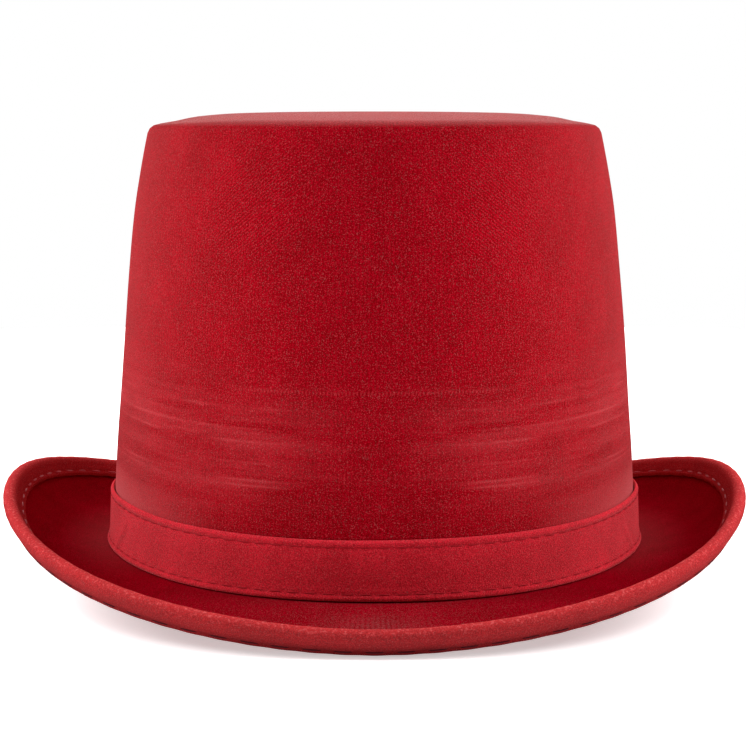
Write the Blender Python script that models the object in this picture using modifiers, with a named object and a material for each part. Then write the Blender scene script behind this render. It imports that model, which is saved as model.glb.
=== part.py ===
"""A velour top hat: an oval crown, a hemmed band round its foot, a swept brim and the brim's binding.

Metres, +Z up. The hat faces -Y and stands on its brim at z = 0, centred on the Z axis.
"""

from collections import namedtuple
from math import cos, pi, radians, sin

import bmesh
import bpy
from mathutils import Vector

# Head opening, inside the crown's foot
HEAD_WIDTH = 0.171
HEAD_LENGTH = 0.196

# Crown, its height taken from the brim's floor to the flat of the tip
CROWN_HEIGHT = 0.1450
CROWN_WALL = 0.0020
SHOULDER_INSET = 0.0128
SIDE_TIP_FALL = 0.0037
FRONT_TIP_FALL = 0.0007
SHOULDER_ROUNDING = 0.0030

# Band round the crown's foot
BAND_HEIGHT = 0.0188
BAND_WALL = 0.00125
BAND_HEM_FLARE = 0.0010

# Brim, its widths taken in plan from the crown to the edge
BRIM_WALL = 0.0018
SIDE_BRIM_WIDTH = 0.0332
FRONT_BRIM_WIDTH = 0.0360
DIAGONAL_EXTRA_WIDTH = 0.0052
FRONT_DIP = 0.0068
FRONT_CURL = 0.0045
SIDE_CURL = 0.0199
SEAT_LIFT = 0.0035

# Binding folded over the brim's edge
BINDING_WIDTH = 0.0065
BINDING_WALL = 0.0010

# Gap between neighbouring pieces
CLEARANCE = 0.0003

# How quickly the sweep, the seat's lift and the tip's fall fade from the sides to the front
# and back, and how much more the brim sweeps behind the middle than ahead of it
SWEEP_FADE = 1.8
SEAT_FADE = 4.0
TIP_FADE = 4.0
SWEEP_LEAN = 0.20

# Mesh steps
ROUND_STEPS = 64
CROWN_ROWS = 8
BAND_ROWS = 5
FLOOR_ROWS = 7
BINDING_ROWS = 3
FOLD_STEPS = 4
SHOULDER_STEPS = 3
NORMAL_STEP = 0.002

# Crown's side: height as a share of the side's height, inset as a share of SHOULDER_INSET
CrownRow = namedtuple("CrownRow", "height inset")
CROWN_SIDE = (
    CrownRow(height=0.00, inset=0.000),
    CrownRow(height=0.20, inset=0.085),
    CrownRow(height=0.35, inset=0.205),
    CrownRow(height=0.50, inset=0.320),
    CrownRow(height=0.65, inset=0.455),
    CrownRow(height=0.80, inset=0.615),
    CrownRow(height=0.90, inset=0.790),
    CrownRow(height=1.00, inset=1.000),
)

# Crown's tip, shoulder to flat: reach as a share of the shoulder's radius, fall as a share of the
# tip's fall from its flat to the shoulder at that angle
TipRow = namedtuple("TipRow", "reach fall")
CROWN_TIP = (
    TipRow(reach=0.91, fall=0.72),
    TipRow(reach=0.79, fall=0.24),
    TipRow(reach=0.62, fall=0.00),
)

# Band: height as a share of BAND_HEIGHT, flare as a share of BAND_HEM_FLARE
BandRow = namedtuple("BandRow", "height flare")
BAND_SIDE = (
    BandRow(height=0.00, flare=1.00),
    BandRow(height=0.12, flare=0.70),
    BandRow(height=0.25, flare=0.15),
    BandRow(height=0.50, flare=0.00),
    BandRow(height=1.00, flare=0.00),
)

# Brim, crown to edge: across as a share of its width, dip as a share of FRONT_DIP,
# roll as a share of FRONT_CURL, and sweep as a share of SIDE_CURL
BrimRow = namedtuple("BrimRow", "across dip roll sweep")
BRIM_SECTION = (
    BrimRow(across=0.00, dip=0.00, roll=0.00, sweep=0.000),
    BrimRow(across=0.10, dip=0.03, roll=0.00, sweep=0.000),
    BrimRow(across=0.25, dip=0.20, roll=0.00, sweep=0.035),
    BrimRow(across=0.40, dip=0.48, roll=0.00, sweep=0.100),
    BrimRow(across=0.55, dip=0.76, roll=0.00, sweep=0.190),
    BrimRow(across=0.68, dip=0.95, roll=0.00, sweep=0.300),
    BrimRow(across=0.78, dip=1.00, roll=0.00, sweep=0.440),
    BrimRow(across=0.86, dip=1.00, roll=0.05, sweep=0.630),
    BrimRow(across=0.93, dip=1.00, roll=0.38, sweep=0.790),
    BrimRow(across=1.00, dip=1.00, roll=1.00, sweep=1.000),
)

# Colours, sRGB from 0 to 255
CROWN_RED = (158, 12, 30)
BAND_RED = (178, 34, 46)
BRIM_RED = (120, 14, 30)
BINDING_RED = (188, 52, 54)
PILE_ROUGHNESS = 0.85
PILE_SHEEN = 0.6
GAMMA = 2.2


def read_table(table, across, wanted, share):
    """Value of the column `wanted` where the column `across` reads `share`.

    The curve passes through every row and never overshoots a row's value.
    """
    places = [getattr(row, across) for row in table]
    values = [getattr(row, wanted) for row in table]
    share = min(max(share, places[0]), places[-1])
    rises = [
        (values[i + 1] - values[i]) / (places[i + 1] - places[i])
        for i in range(len(table) - 1)
    ]
    slopes = [rises[0]]
    for before, after in zip(rises, rises[1:]):
        same_way = before * after > 0.0
        slopes.append(2.0 * before * after / (before + after) if same_way else 0.0)
    slopes.append(rises[-1])
    i = max(k for k in range(len(rises)) if places[k] <= share)
    span = places[i + 1] - places[i]
    t = (share - places[i]) / span
    return (
        values[i] * (1.0 + 2.0 * t) * (1.0 - t) ** 2
        + values[i + 1] * t * t * (3.0 - 2.0 * t)
        + slopes[i] * span * t * (1.0 - t) ** 2
        - slopes[i + 1] * span * t * t * (1.0 - t)
    )


def round_angles():
    """Angles of the sections round the hat, from +X."""
    return [2.0 * pi * step / ROUND_STEPS for step in range(ROUND_STEPS)]


def head_oval_point(standoff, angle, height):
    """Point at a height, `standoff` outside the oval of the head opening."""
    return Vector(
        (
            (HEAD_WIDTH / 2.0 + standoff) * cos(angle),
            (HEAD_LENGTH / 2.0 + standoff) * sin(angle),
            height,
        )
    )


def floor_height(angle):
    """Height of the brim's upper face at the crown: zero at the front and back, lifted at the sides."""
    return SEAT_LIFT * abs(cos(angle)) ** SEAT_FADE


def tip_fall(angle):
    """Fall from the flat of the tip to the shoulder: the tip is arched, so it falls most at the sides."""
    return FRONT_TIP_FALL + (SIDE_TIP_FALL - FRONT_TIP_FALL) * abs(cos(angle)) ** TIP_FADE


def crown_point(angle, height, outward):
    """Point at a height above the brim's floor, `outward` of the crown's side."""
    side_height = CROWN_HEIGHT - tip_fall(angle)
    share = height / side_height
    inset = SHOULDER_INSET * read_table(CROWN_SIDE, "height", "inset", share)
    foot = floor_height(angle)
    return head_oval_point(CROWN_WALL + outward - inset, angle, foot + (side_height - foot) * share)


def tip_point(angle, row):
    """Point of the crown's tip, inwards of the shoulder."""
    standoff = CROWN_WALL - SHOULDER_INSET
    point = head_oval_point(standoff, angle, 0.0) * row.reach
    point.z = CROWN_HEIGHT - tip_fall(angle) * row.fall
    return point


def brim_point(angle, across):
    """Point of the brim's middle surface, `across` the brim from the crown (0) to the edge (1)."""
    dip = FRONT_DIP * read_table(BRIM_SECTION, "across", "dip", across)
    roll = FRONT_CURL * read_table(BRIM_SECTION, "across", "roll", across)
    sweep = SIDE_CURL * read_table(BRIM_SECTION, "across", "sweep", across)
    at_side = abs(cos(angle)) ** SWEEP_FADE * (1.0 + SWEEP_LEAN * sin(angle))
    rise = (roll - dip) * (1.0 - at_side) + sweep * at_side
    inner = CROWN_WALL + CLEARANCE
    point = head_oval_point(inner, angle, floor_height(angle) - BRIM_WALL / 2.0 + rise)
    extra_width = DIAGONAL_EXTRA_WIDTH * sin(2.0 * angle) ** 2
    point.x += (SIDE_BRIM_WIDTH + extra_width) * across * cos(angle)
    point.y += (FRONT_BRIM_WIDTH + extra_width) * across * sin(angle)
    return point


def brim_directions(angle, across):
    """The way out along the brim and the way up off it, at a point of its middle surface."""
    inner = brim_point(angle, across - NORMAL_STEP)
    outer = brim_point(angle, across)
    along = brim_point(angle + NORMAL_STEP, across) - brim_point(angle - NORMAL_STEP, across)
    up = (outer - inner).cross(along).normalized()
    out = along.cross(up).normalized()
    return out, up


def binding_start(angle):
    """Share across the brim at which the binding's free edges lie, BINDING_WIDTH from the edge."""
    across = 1.0
    length = 0.0
    point = brim_point(angle, across)
    while length < BINDING_WIDTH and across > 2.0 * NORMAL_STEP:
        across -= NORMAL_STEP
        inner = brim_point(angle, across)
        length += (point - inner).length
        point = inner
    return across


def binding_stations(angle):
    """Shares across the brim from the binding's free edges to the brim's edge."""
    start = binding_start(angle)
    return [start + (1.0 - start) * row / BINDING_ROWS for row in range(BINDING_ROWS + 1)]


def brim_stations(angle):
    """Shares across the brim from the crown to the edge, the last ones under the binding."""
    start = binding_start(angle)
    floor = [start * row / FLOOR_ROWS for row in range(FLOOR_ROWS)]
    return floor + binding_stations(angle)


def loft(name, sections, pole=None):
    """An open surface through one section of points for each angle, with a pole closing its last row."""
    shape = bmesh.new()
    lines = [[shape.verts.new(point) for point in section] for section in sections]
    top = shape.verts.new(pole) if pole else None
    for here, ahead in zip(lines, lines[1:] + lines[:1]):
        for row in range(len(here) - 1):
            shape.faces.new((here[row], ahead[row], ahead[row + 1], here[row + 1]))
        if top:
            shape.faces.new((here[-1], ahead[-1], top))
    mesh = bpy.data.meshes.new(name)
    shape.to_mesh(mesh)
    shape.free()
    mesh.shade_smooth()
    return bpy.data.objects.new(name, mesh)


def thicken(piece, wall, offset):
    """Give an open surface its wall: offset -1 grows it inwards, 0 both ways."""
    solid = piece.modifiers.new("wall", "SOLIDIFY")
    solid.thickness = wall
    solid.offset = offset
    solid.use_even_offset = True


def round_off(piece, width, sharper_than):
    """Round the edges that turn by more than an angle."""
    bevel = piece.modifiers.new("rounded edge", "BEVEL")
    bevel.width = width
    bevel.segments = SHOULDER_STEPS
    bevel.limit_method = "ANGLE"
    bevel.angle_limit = sharper_than


def velour(name, colour):
    """Velour material of one sRGB colour."""
    material = bpy.data.materials.new(name)
    material.use_nodes = True
    shader = material.node_tree.nodes["Principled BSDF"]
    linear = [(value / 255.0) ** GAMMA for value in colour]
    shader.inputs["Base Color"].default_value = (*linear, 1.0)
    shader.inputs["Roughness"].default_value = PILE_ROUGHNESS
    shader.inputs["Metallic"].default_value = 0.0
    shader.inputs["Sheen Weight"].default_value = PILE_SHEEN
    return material


def make_crown():
    """Side and tip in one piece, open at the foot, which is flush with the brim's underside."""
    foot = -BRIM_WALL
    sections = []
    for angle in round_angles():
        rise = CROWN_HEIGHT - tip_fall(angle) - foot
        heights = [foot + rise * row / CROWN_ROWS for row in range(CROWN_ROWS + 1)]
        side = [crown_point(angle, height, 0.0) for height in heights]
        tip = [tip_point(angle, row) for row in CROWN_TIP]
        sections.append(side + tip)
    crown = loft("crown", sections, Vector((0.0, 0.0, CROWN_HEIGHT)))
    round_off(crown, SHOULDER_ROUNDING, radians(40.0))
    thicken(crown, CROWN_WALL, -1.0)
    crown.data.materials.append(velour("crown velour", CROWN_RED))
    return crown


def make_band():
    """Strip round the crown's foot, its lower hem standing off a little."""
    sections = []
    for angle in round_angles():
        section = []
        for row in range(BAND_ROWS + 1):
            share = row / BAND_ROWS
            flare = BAND_HEM_FLARE * read_table(BAND_SIDE, "height", "flare", share)
            height = CLEARANCE + (BAND_HEIGHT - CLEARANCE) * share
            section.append(crown_point(angle, height, CLEARANCE + BAND_WALL / 2.0 + flare))
        sections.append(section)
    band = loft("band", sections)
    thicken(band, BAND_WALL, 0.0)
    band.data.materials.append(velour("band velour", BAND_RED))
    return band


def make_brim():
    """Oval brim: dipped at the front and back, swept up at the sides, its edge rolled up all round."""
    sections = [
        [brim_point(angle, across) for across in brim_stations(angle)]
        for angle in round_angles()
    ]
    brim = loft("brim", sections)
    thicken(brim, BRIM_WALL, 0.0)
    brim.data.materials.append(velour("brim velour", BRIM_RED))
    return brim


def binding_section(angle):
    """Middle line of the binding: out along the brim's upper face, round its edge and back underneath."""
    standoff = BRIM_WALL / 2.0 + CLEARANCE + BINDING_WALL / 2.0
    upper = []
    lower = []
    for across in binding_stations(angle):
        point = brim_point(angle, across)
        up = brim_directions(angle, across)[1]
        upper.append(point + up * standoff)
        lower.append(point - up * standoff)
    edge = brim_point(angle, 1.0)
    out, up = brim_directions(angle, 1.0)
    turns = [pi * step / FOLD_STEPS for step in range(1, FOLD_STEPS)]
    fold = [edge + (up * cos(turn) + out * sin(turn)) * standoff for turn in turns]
    return upper + fold + lower[::-1]


def make_binding():
    """Strip folded over the brim's edge."""
    binding = loft("binding", [binding_section(angle) for angle in round_angles()])
    thicken(binding, BINDING_WALL, 0.0)
    binding.data.materials.append(velour("binding velour", BINDING_RED))
    return binding


def clear_scene():
    """Remove the objects of the file that is open."""
    for item in list(bpy.data.objects):
        bpy.data.objects.remove(item, do_unlink=True)


def set_down(pieces):
    """Move the pieces up or down together so that the lowest point of them all is at z = 0."""
    bpy.context.view_layer.update()
    depsgraph = bpy.context.evaluated_depsgraph_get()
    lowest = min(
        vertex.co.z for piece in pieces for vertex in piece.evaluated_get(depsgraph).data.vertices
    )
    for piece in pieces:
        piece.location.z = -lowest


def main():
    """Build the hat in a collection of its own."""
    clear_scene()
    hat = bpy.data.collections.new("velour_top_hat")
    bpy.context.scene.collection.children.link(hat)
    pieces = [make_crown(), make_band(), make_brim(), make_binding()]
    for piece in pieces:
        hat.objects.link(piece)
    set_down(pieces)


main()
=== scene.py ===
"""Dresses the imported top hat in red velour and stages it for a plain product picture.

Each cloth piece is first cut flat round a circle with Blender's own operators, one row of
cloth after another, then pressed over the hat block, and last given its wall. The block
holds the hat's sizes and turns a place on the flat cut into a place on the hat.
"""

import logging
import math
from abc import ABC, abstractmethod
from collections.abc import Callable
from dataclasses import dataclass
from enum import Enum
from typing import ClassVar

import bpy
import numpy as np
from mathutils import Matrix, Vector, noise


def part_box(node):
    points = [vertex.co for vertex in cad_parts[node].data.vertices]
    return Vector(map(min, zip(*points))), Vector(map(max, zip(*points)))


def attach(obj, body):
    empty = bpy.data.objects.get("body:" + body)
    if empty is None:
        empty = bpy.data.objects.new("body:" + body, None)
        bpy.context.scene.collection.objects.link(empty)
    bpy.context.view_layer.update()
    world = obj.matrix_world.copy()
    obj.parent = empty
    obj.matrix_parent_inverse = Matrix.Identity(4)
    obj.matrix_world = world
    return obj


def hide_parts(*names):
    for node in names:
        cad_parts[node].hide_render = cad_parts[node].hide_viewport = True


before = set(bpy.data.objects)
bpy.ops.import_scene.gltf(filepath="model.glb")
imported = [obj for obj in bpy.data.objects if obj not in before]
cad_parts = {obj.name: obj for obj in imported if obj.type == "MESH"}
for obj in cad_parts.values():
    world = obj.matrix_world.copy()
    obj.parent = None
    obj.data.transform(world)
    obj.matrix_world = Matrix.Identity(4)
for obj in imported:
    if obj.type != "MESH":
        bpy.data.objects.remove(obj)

log = logging.getLogger("top_hat")

BODY = "root"
PATTERN = "cloth"
MM = 0.001
TAU = 2.0 * math.pi
BAND_HEIGHT = 18.8 * MM
WHITE = (1.0, 1.0, 1.0, 1.0)
WELD = 0.001 * MM
SMOOTH_UP_TO = math.radians(50.0)

Array = np.ndarray
Piece = bpy.types.Object
Span = tuple[float, float]
Colour = tuple[float, float, float, float]
Surface = Callable[[Array, Array], Array]


class Finish(Enum):
    """Material slots of the record, one for each kind of piece."""

    CROWN = "crown_velour"
    BAND = "band_velour"
    BRIM = "brim_velour"
    BINDING = "binding_velour"


class Cut(Enum):
    """Ways a cloth is cut before it is pressed."""

    STRIP = "rows that stand on each other, from height zero to one"
    RING = "flat rows round each other, from radius one to two"


def linear_colour(hex_colour: str) -> Colour:
    """Turn an sRGB hex colour into linear values.

    Args:
        hex_colour: Six hex digits, red, green and blue.

    Returns:
        Linear red, green, blue and an alpha of one.
    """
    channels = [int(hex_colour[i : i + 2], 16) / 255.0 for i in (0, 2, 4)]
    linear = [c / 12.92 if c <= 0.04045 else ((c + 0.055) / 1.055) ** 2.4 for c in channels]
    return (*linear, 1.0)


class Value:
    """What a node gives at each point of a surface; a sum or product of values makes further nodes."""

    def __init__(self, node: bpy.types.Node, output: str | int = 0) -> None:
        """Take one output of a node."""
        self.tree = node.id_data
        self.socket = node.outputs[output]

    def into(self, kind: str, *others: "Value | float", **settings: str) -> "Value":
        """Feed this value to the first input of a new node.

        Args:
            kind: Blender's type of the node, without the word ShaderNode.
            others: What the next inputs take, in their order.
            settings: The node's properties.

        Returns:
            The node's first output.
        """
        return Value(add_node(self.tree, kind, dict(enumerate((self, *others))), **settings))

    def __add__(self, other: "Value | float") -> "Value":
        """Sum of this value and another."""
        return self.into("Math", other, operation="ADD")

    def __sub__(self, other: "Value | float") -> "Value":
        """This value less another."""
        return self.into("Math", other, operation="SUBTRACT")

    def __rsub__(self, other: float) -> "Value":
        """A number less this value."""
        return self * -1.0 + other

    def __mul__(self, other: "Value | float") -> "Value":
        """Product of this value and another."""
        return self.into("Math", other, operation="MULTIPLY")

    def __abs__(self) -> "Value":
        """This value without its sign."""
        return self.into("Math", operation="ABSOLUTE")

    def line(self, at: float, reach: float) -> "Value":
        """One where this value is at a place, fading to nothing a reach away from it."""
        return abs(self - at).into("MapRange", 0.0, reach, 1.0, 0.0)

    def between(self, low: float, high: float, soft: float) -> "Value":
        """One while this value lies between two limits, fading over a soft margin at each."""
        above = self.into("MapRange", low - soft, low + soft, 0.0, 1.0)
        return above * self.into("MapRange", high - soft, high + soft, 1.0, 0.0)

    def wave(self, pitch: float) -> "Value":
        """Wave from -1 to 1 that repeats once for each pitch of this value."""
        return (self * (TAU / pitch)).into("Math", operation="SINE")


Feeds = dict[str | int, Value | float | Colour]


def add_node(tree: bpy.types.NodeTree, kind: str, inputs: Feeds, **settings: object) -> bpy.types.Node:
    """Add a node with its settings and links.

    Args:
        tree: Node tree that takes the node.
        kind: Blender's type of the node, without the word ShaderNode.
        inputs: What each input takes, by its name or number: a value to link, or a fixed one.
        settings: The node's properties.

    Returns:
        The new node.
    """
    node = tree.nodes.new("ShaderNode" + kind)
    for name, setting in settings.items():
        setattr(node, name, setting)
    for name, feed in inputs.items():
        if isinstance(feed, Value):
            tree.links.new(feed.socket, node.inputs[name])
        else:
            node.inputs[name].default_value = feed
    return node


class Column:
    """One column of a short table, read on a smooth curve that never overshoots its rows."""

    def __init__(self, places: tuple[float, ...], values: tuple[float, ...]) -> None:
        """Keep the rows and work out the curve's slope at each.

        Args:
            places: Where each row stands, in rising order.
            values: What the column reads there.
        """
        self.places = np.array(places)
        self.values = np.array(values)
        rises = np.diff(self.values) / np.diff(self.places)
        before, after = rises[:-1], rises[1:]
        total = np.where(before * after > 0.0, before + after, 1.0)
        inner = np.where(before * after > 0.0, 2.0 * before * after / total, 0.0)
        self.slopes = np.concatenate([rises[:1], inner, rises[-1:]])

    def __call__(self, share: Array | float) -> Array:
        """Read the column.

        Args:
            share: Where to read it.

        Returns:
            The values there.
        """
        share = np.clip(share, self.places[0], self.places[-1])
        row = np.clip(np.searchsorted(self.places, share, side="right") - 1, 0, len(self.places) - 2)
        span = self.places[row + 1] - self.places[row]
        t = (share - self.places[row]) / span
        return (
            self.values[row] * (1.0 + 2.0 * t) * (1.0 - t) ** 2
            + self.values[row + 1] * t * t * (3.0 - 2.0 * t)
            + self.slopes[row] * span * t * (1.0 - t) ** 2
            - self.slopes[row + 1] * span * t * t * (1.0 - t)
        )


@dataclass(frozen=True)
class Ridge:
    """A soft ridge along a cloth, in metres: a trough where it goes down, a share where it is one high."""

    height: float
    at: float
    reach: float

    def rise(self, distance: Array) -> Array:
        """How far the cloth rises at each distance: fully on the line, hardly past twice the reach."""
        return self.height * np.exp(-(((distance - self.at) / self.reach) ** 2))


@dataclass
class HatBlock:
    """The form that the cloth is pressed over, in metres, by the frame's sizes where it has them."""

    crown_height: float = 145.0 * MM
    side_tip_fall: float = 3.7 * MM
    front_tip_fall: float = 0.7 * MM
    tip_fade: float = 4.0
    shoulder_inset: float = 12.8 * MM
    shoulder_rounding: float = 2.9 * MM
    seat_lift: float = 3.5 * MM
    seat_fade: float = 4.0
    side_brim_width: float = 33.2 * MM
    front_brim_width: float = 36.0 * MM
    diagonal_extra_width: float = 5.2 * MM
    front_dip: float = 6.8 * MM
    front_curl: float = 4.5 * MM
    side_curl: float = 19.9 * MM
    sweep_fade: float = 1.8
    sweep_lean: float = 0.20
    brim_wall: float = 1.8 * MM
    gap: float = 0.3 * MM

    def __post_init__(self) -> None:
        """Take the crown's foot and the height of the floor from the frame."""
        _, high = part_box("crown")
        self.half_width = high.x
        self.half_length = high.y
        self.floor = high.z - self.crown_height
        self.inset = Column(
            (0.0, 0.20, 0.35, 0.50, 0.65, 0.80, 0.90, 1.0),
            (0.0, 0.085, 0.205, 0.320, 0.455, 0.615, 0.790, 1.0),
        )
        self.fall = Column((0.0, 0.62, 0.79, 0.91, 1.0), (0.0, 0.0, 0.24, 0.72, 1.0))
        across = (0.0, 0.10, 0.25, 0.40, 0.55, 0.68, 0.78, 0.86, 0.93, 1.0)
        self.dip = Column(across, (0.0, 0.03, 0.20, 0.48, 0.76, 0.95, 1.0, 1.0, 1.0, 1.0))
        self.roll = Column(across, (0.0, 0.0, 0.0, 0.0, 0.0, 0.0, 0.0, 0.05, 0.38, 1.0))
        self.sweep = Column(across, (0.0, 0.0, 0.035, 0.10, 0.19, 0.30, 0.44, 0.63, 0.79, 1.0))

    def girth(self, standoff: float = 0.0) -> float:
        """Length round the crown's foot, a stand-off outside it."""
        return TAU * math.hypot(self.half_width + standoff, self.half_length + standoff) / math.sqrt(2.0)

    def lift(self, angle: Array) -> Array:
        """How far the seat of the brim is lifted at an angle."""
        return self.seat_lift * np.abs(np.cos(angle)) ** self.seat_fade

    def side(self, angle: Array) -> Array:
        """Height of the shoulder, least at the sides, because the tip is arched.

        Args:
            angle: Angles round the hat from +X.

        Returns:
            Heights above the brim's floor.
        """
        at_side = np.abs(np.cos(angle)) ** self.tip_fade
        fall = self.front_tip_fall + (self.side_tip_fall - self.front_tip_fall) * at_side
        return self.crown_height - fall

    def crown_side(self, angle: Array, height: Array) -> Array:
        """Points of the crown's side.

        Args:
            angle: Angles round the hat from +X.
            height: Heights above the brim's floor.

        Returns:
            One point for each angle and height.
        """
        side = self.side(angle)
        inset = self.shoulder_inset * self.inset(height / side)
        foot = self.lift(angle)
        return stacked(
            (self.half_width - inset) * np.cos(angle),
            (self.half_length - inset) * np.sin(angle),
            self.floor + foot + (side - foot) * height / side,
        )

    def crown_tip(self, angle: Array, reach: Array) -> Array:
        """Points of the crown's tip.

        Args:
            angle: Angles round the hat from +X.
            reach: Shares of the way from the middle of the tip to the shoulder.

        Returns:
            One point for each pair.
        """
        return stacked(
            (self.half_width - self.shoulder_inset) * reach * np.cos(angle),
            (self.half_length - self.shoulder_inset) * reach * np.sin(angle),
            self.floor + self.crown_height - (self.crown_height - self.side(angle)) * self.fall(reach),
        )

    def crown(self, angle: Array, along: Array) -> Array:
        """Points of the crown from its foot over the rounded shoulder to the middle of the tip.

        Args:
            angle: Angles round the hat from +X.
            along: Metres along the cloth from the brim's floor, over the shoulder.

        Returns:
            One point for each pair.
        """
        side = self.side(angle)
        radius = self.half_width - self.shoulder_inset
        turn = self.shoulder_rounding
        before, after = side - turn, side + turn
        t = np.clip((along - before) / (after - before), 0.0, 1.0)[..., None]
        start = self.crown_side(angle, np.minimum(along, before))
        corner = self.crown_tip(angle, np.ones_like(angle))
        end = self.crown_tip(angle, 1.0 - np.clip(along - side, turn, radius) / radius)
        on_arc = (1.0 - t) ** 2 * start + 2.0 * t * (1.0 - t) * corner + t**2 * end
        return np.where(t <= 0.0, start, np.where(t >= 1.0, end, on_arc))

    def brim(self, angle: Array, across: Array) -> Array:
        """Points of the brim's middle surface.

        Args:
            angle: Angles round the hat from +X.
            across: Shares of the way from the crown to the edge.

        Returns:
            One point for each pair.
        """
        at_side = np.abs(np.cos(angle)) ** self.sweep_fade * (1.0 + self.sweep_lean * np.sin(angle))
        curl = self.front_curl * self.roll(across) - self.front_dip * self.dip(across)
        rise = curl * (1.0 - at_side) + self.side_curl * self.sweep(across) * at_side
        extra = self.diagonal_extra_width * np.sin(2.0 * angle) ** 2
        width = self.half_width + self.gap + (self.side_brim_width + extra) * across
        length = self.half_length + self.gap + (self.front_brim_width + extra) * across
        return stacked(
            width * np.cos(angle),
            length * np.sin(angle),
            self.floor + self.lift(angle) - self.brim_wall / 2.0 + rise,
        )

    def directions(self, surface: Surface, angle: Array, other: Array) -> tuple[Array, Array]:
        """Which way a surface runs and faces.

        Args:
            surface: A method of the block that gives points by angle and a second measure.
            angle: Angles round the hat.
            other: The second measure.

        Returns:
            The way along the second measure, square to the hat's round, and the way that the
            surface faces: outwards on the crown's side, down on the brim.
        """
        small = 1e-4
        along = surface(angle, other) - surface(angle, other - small)
        round_way = surface(angle + small, other) - surface(angle - small, other)
        face = unit(np.cross(round_way, along))
        return unit(np.cross(face, round_way)), face


def stacked(x: Array, y: Array, z: Array) -> Array:
    """Points from their three measures."""
    return np.stack([x, y, z], axis=-1)


def unit(vectors: Array) -> Array:
    """Vectors of length one."""
    return vectors / np.linalg.norm(vectors, axis=-1, keepdims=True)


def select_only(piece: Piece) -> None:
    """Make a piece the only selected and the active object.

    Args:
        piece: The piece.
    """
    bpy.ops.object.select_all(action="DESELECT")
    piece.select_set(True)
    bpy.context.view_layer.objects.active = piece


def cut_cloth(name: str, around: int, rows: int, cut: Cut) -> Piece:
    """Cut a cloth round a circle of unit radius, each row extruded from the last.

    Args:
        name: Name of the piece.
        around: Steps round the circle.
        rows: Rows of cloth.
        cut: How the rows lie.

    Returns:
        The new piece.
    """
    bpy.ops.object.select_all(action="DESELECT")
    bpy.ops.mesh.primitive_circle_add(vertices=around, radius=1.0, location=(0.0, 0.0, 0.0))
    cloth = bpy.context.object
    cloth.name = cloth.data.name = name
    bpy.ops.object.mode_set(mode="EDIT")
    bpy.ops.mesh.select_all(action="SELECT")
    step = 1.0 / rows if cut is Cut.STRIP else 0.0
    for row in range(rows):
        bpy.ops.mesh.extrude_edges_move(TRANSFORM_OT_translate={"value": (0.0, 0.0, step)})
        if cut is Cut.RING:
            widen = (rows + row + 1) / (rows + row)
            bpy.ops.transform.resize(value=(widen, widen, 1.0), center_override=(0.0, 0.0, 0.0))
    bpy.ops.object.mode_set(mode="OBJECT")
    return cloth


def points_of(piece: Piece) -> Array:
    """Read the points of a piece's mesh.

    Args:
        piece: The piece.

    Returns:
        One row for each point.
    """
    flat = np.zeros(len(piece.data.vertices) * 3, np.float32)
    piece.data.vertices.foreach_get("co", flat)
    return flat.reshape(-1, 3).astype(float)


def laid_flat(piece: Piece) -> tuple[Array, Array, Array]:
    """Angle round the circle, distance from its middle and height of each point of a cut cloth."""
    x, y, z = points_of(piece).T
    return np.arctan2(y, x), np.hypot(x, y), z


def press(piece: Piece, points: Array) -> None:
    """Move a piece's points to their places on the hat."""
    piece.data.vertices.foreach_set("co", points.astype(np.float32).ravel())
    piece.data.update()


def lay_pattern(piece: Piece, angle: Array, girth: float, height: Array) -> None:
    """Give a cloth its own measure: metres round the hat and metres up the cloth.

    Args:
        piece: The pressed cloth, still open.
        angle: Each point's angle round the hat.
        girth: Length of the cloth round the hat.
        height: Each point's height up the cloth.
    """
    layer = piece.data.uv_layers.new(name=PATTERN)
    for face in piece.data.polygons:
        turns = [angle[k] for k in face.vertices]
        start = min(turns)
        wrapped = max(turns) - start > math.pi
        for corner, k, turn in zip(face.loop_indices, face.vertices, turns):
            turn = turn + TAU if wrapped and turn < 0.0 else turn
            layer.data[corner].uv = (turn / TAU * girth, height[k])


def face_outwards(piece: Piece) -> None:
    """Weld a piece's seams and turn its faces outwards, before it has a wall.

    Args:
        piece: The open cloth.
    """
    select_only(piece)
    bpy.ops.object.mode_set(mode="EDIT")
    bpy.ops.mesh.select_all(action="SELECT")
    bpy.ops.mesh.remove_doubles(threshold=WELD)
    bpy.ops.mesh.normals_make_consistent(inside=False)
    bpy.ops.object.mode_set(mode="OBJECT")


def give_wall(piece: Piece, wall: float, offset: float, backing_slot: int = 0) -> None:
    """Give a pressed cloth its thickness and apply it.

    Args:
        piece: The open cloth.
        wall: Thickness in metres.
        offset: -1 grows it under the face, 0 both ways.
        backing_slot: Material slot, counted from the face's own, of the back.
    """
    select_only(piece)
    solid = piece.modifiers.new("wall", "SOLIDIFY")
    solid.thickness = wall
    solid.offset = offset
    solid.use_even_offset = True
    solid.material_offset = backing_slot
    bpy.ops.object.modifier_apply(modifier=solid.name)
    bpy.ops.object.shade_smooth_by_angle(angle=SMOOTH_UP_TO)


def dress(piece: Piece, finish: Finish, *materials: bpy.types.Material) -> None:
    """Give a piece its materials, and let it ride on the hat.

    Args:
        piece: The piece.
        finish: A slot of the record; not used.
        materials: Its materials, the face's own first.
    """
    for material in materials:
        piece.data.materials.append(material)
    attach(piece, BODY)


def unevenness(points: Array, size: float, seed: float) -> Array:
    """Smooth noise from -1 to 1 at each point, with swells of about a size in metres."""
    shift = Vector((seed, -seed, seed * 0.5))
    return np.array([noise.noise(Vector(point) / size + shift) for point in points])


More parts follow.
